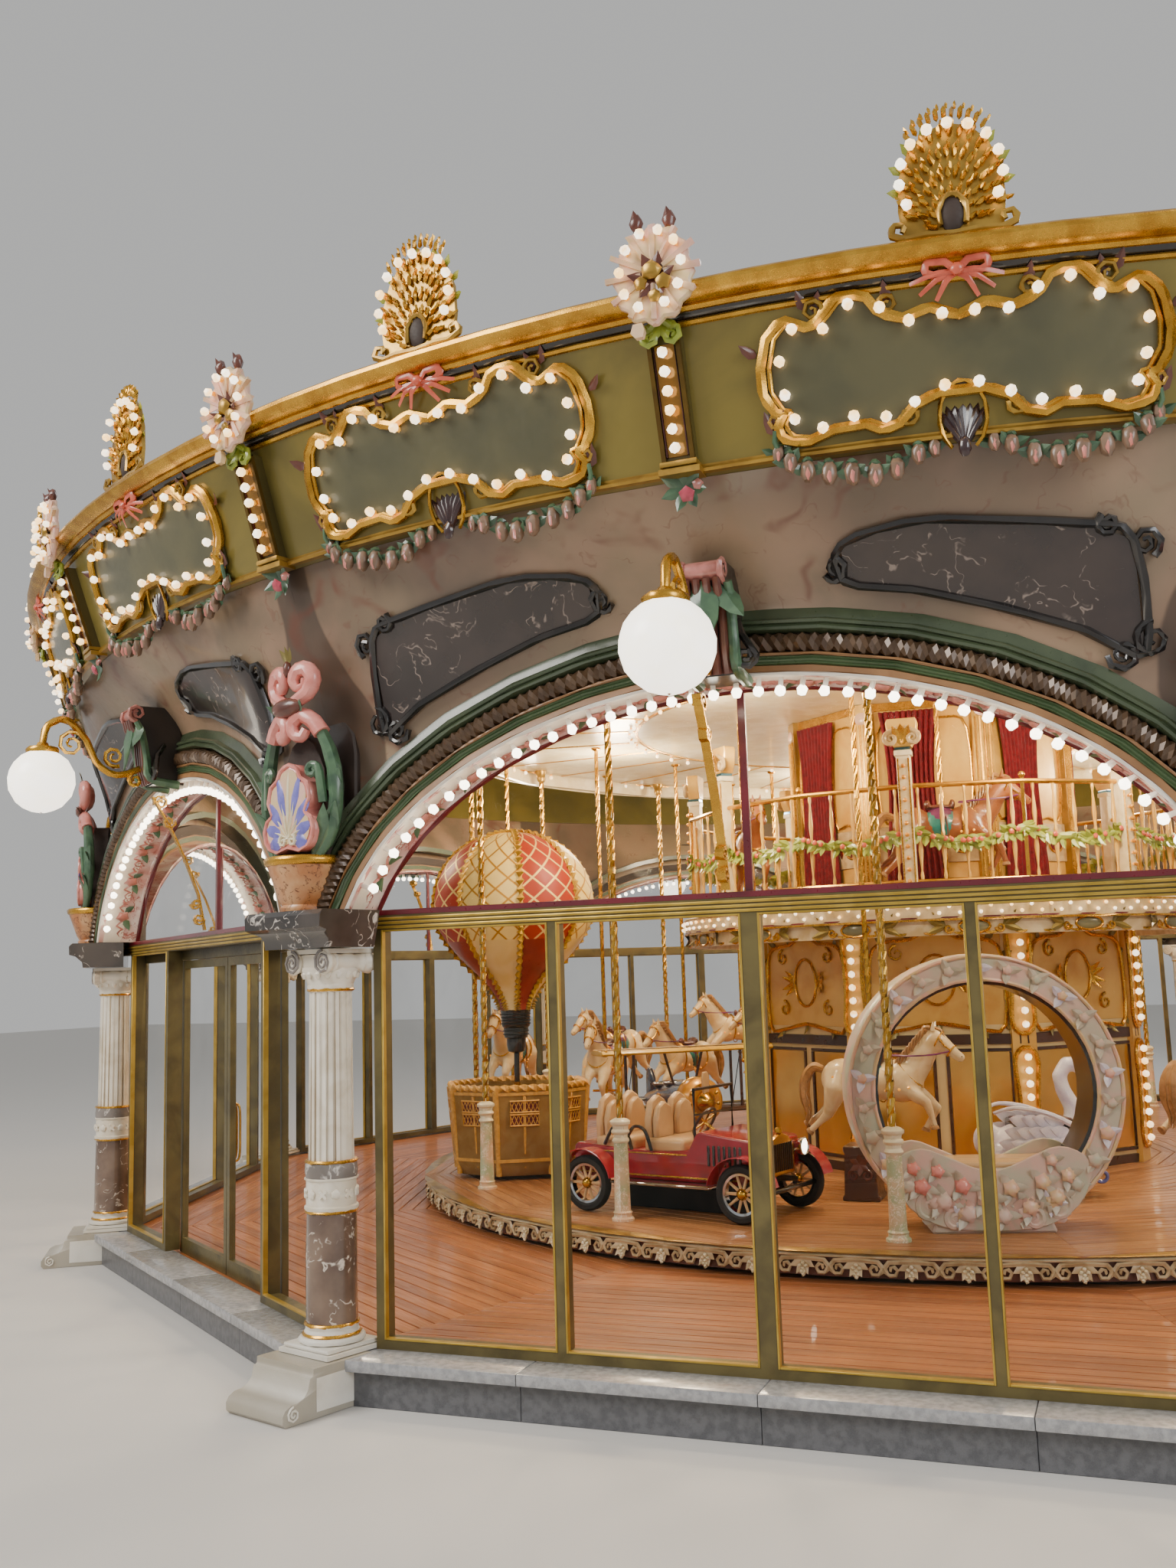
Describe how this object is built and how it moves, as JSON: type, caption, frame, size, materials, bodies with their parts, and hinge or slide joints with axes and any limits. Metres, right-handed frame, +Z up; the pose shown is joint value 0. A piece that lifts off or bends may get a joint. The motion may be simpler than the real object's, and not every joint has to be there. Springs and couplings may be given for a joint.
{
  "type": "fairground carousel pavilion",
  "caption": "Double-deck fairground carousel with horses, coaches, a car, a biplane and a balloon ride, inside a glazed round pavilion with arches, columns and hanging globe lamps.",
  "frame": {"origin": "centre of the pavilion, on the ground", "axes": "+Z up, -Y out through the middle of the front bay, +X to the right seen from the front"},
  "size_m": [17.36, 17.64, 7.8],
  "materials": {
    "plank_floor": "satin",
    "granite": "polished",
    "bronze_frame": "satin",
    "clear_glass": "clear",
    "gilded_olive": "satin",
    "roof_sheet": "matt",
    "cream_enamel": "gloss",
    "gilt_carving": "gilded",
    "railing_brass": "polished",
    "chestnut_paint": "gloss",
    "red_enamel": "gloss",
    "navy_enamel": "gloss",
    "rose_carving": "gloss",
    "white_paint": "gloss",
    "walnut": "satin",
    "cream_envelope": "gloss",
    "wicker": "woven",
    "fascia_marble": "marbled gloss",
    "column_marble": "polished",
    "horse_paint": "gloss"
  },
  "bodies": {
    "pavilion": {"floor": "plank_floor", "curb": "granite", "column_1": "column_marble", "column_2": "column_marble", "column_3": "column_marble", "column_4": "column_marble", "column_5": "column_marble", "column_6": "column_marble", "column_7": "column_marble", "column_8": "column_marble", "column_9": "column_marble", "column_10": "column_marble", "arch_bay_1": "fascia_marble", "arch_bay_2": "fascia_marble", "arch_bay_3": "fascia_marble", "arch_bay_4": "fascia_marble", "arch_bay_5": "fascia_marble", "arch_bay_6": "fascia_marble", "arch_bay_7": "fascia_marble", "arch_bay_8": "fascia_marble", "arch_bay_9": "fascia_marble", "arch_bay_10": "fascia_marble", "frame_front": "bronze_frame", "frame_door": "bronze_frame", "frame_left": "bronze_frame", "frame_back": "bronze_frame", "lower_glass_front": "clear_glass", "lower_glass_back": "clear_glass", "lunette_glass": "clear_glass", "cornice": "gilded_olive", "roof": "roof_sheet", "mast": "cream_enamel"},
    "carousel": {"platform": "plank_floor", "lower_core": "cream_enamel", "upper_deck": "gilt_carving", "upper_railing": "railing_brass", "upper_core": "cream_enamel", "canopy": "gilt_carving", "upper_horse_1": "chestnut_paint", "upper_horse_2": "chestnut_paint", "upper_horse_3": "chestnut_paint", "tourer_car": "red_enamel", "biplane": "navy_enamel", "ring_coach": "rose_carving", "swan_coach": "white_paint", "carved_step": "walnut"},
    "balloon": {"balloon_envelope": "cream_envelope", "balloon_basket": "wicker"},
    "propeller": {"propeller": "railing_brass"},
    "horses_1": {"horse_row_1": "horse_paint"},
    "horses_2": {"horse_row_2": "horse_paint"},
    "horses_3": {"horse_row_3": "horse_paint"},
    "horses_4": {"horse_row_4": "horse_paint"},
    "horses_5": {"horse_row_5": "horse_paint"},
    "horses_6": {"horse_row_6": "horse_paint"},
    "horses_7": {"horse_row_7": "horse_paint"},
    "door_left": {"door_leaf_left": "bronze_frame", "door_pane_left": "clear_glass"},
    "door_right": {"door_leaf_right": "bronze_frame", "door_pane_right": "clear_glass"}
  },
  "joints": [
    {"name": "platform_turn", "type": "hinge", "parent": "pavilion", "child": "carousel", "pos_m": [0, 0, 0.42], "axis": [0, 0, 1], "continuous": true},
    {"name": "balloon_spin", "type": "hinge", "parent": "carousel", "child": "balloon", "pos_m": [-3.7239, -2.15, 0.42], "axis": [0, 0, 1], "continuous": true},
    {"name": "propeller_spin", "type": "hinge", "parent": "carousel", "child": "propeller", "pos_m": [-1.6286, -2.933, 1.15], "axis": [0.6428, -0.766, 0], "continuous": true},
    {"name": "horse_lift_1", "type": "slide", "parent": "carousel", "child": "horses_1", "axis": [0, 0, 1], "range_m": [-0.12, 0.12]},
    {"name": "horse_lift_2", "type": "slide", "parent": "carousel", "child": "horses_2", "axis": [0, 0, 1], "range_m": [-0.12, 0.12]},
    {"name": "horse_lift_3", "type": "slide", "parent": "carousel", "child": "horses_3", "axis": [0, 0, 1], "range_m": [-0.12, 0.12]},
    {"name": "horse_lift_4", "type": "slide", "parent": "carousel", "child": "horses_4", "axis": [0, 0, 1], "range_m": [-0.12, 0.12]},
    {"name": "horse_lift_5", "type": "slide", "parent": "carousel", "child": "horses_5", "axis": [0, 0, 1], "range_m": [-0.12, 0.12]},
    {"name": "horse_lift_6", "type": "slide", "parent": "carousel", "child": "horses_6", "axis": [0, 0, 1], "range_m": [-0.12, 0.12]},
    {"name": "horse_lift_7", "type": "slide", "parent": "carousel", "child": "horses_7", "axis": [0, 0, 1], "range_m": [-0.12, 0.12]},
    {"name": "door_left_slide", "type": "slide", "parent": "pavilion", "child": "door_left", "axis": [-0.809, 0.5878, 0], "range_m": [0, 1.05]},
    {"name": "door_right_slide", "type": "slide", "parent": "pavilion", "child": "door_right", "axis": [0.809, -0.5878, 0], "range_m": [0, 1.05]}
  ]
}
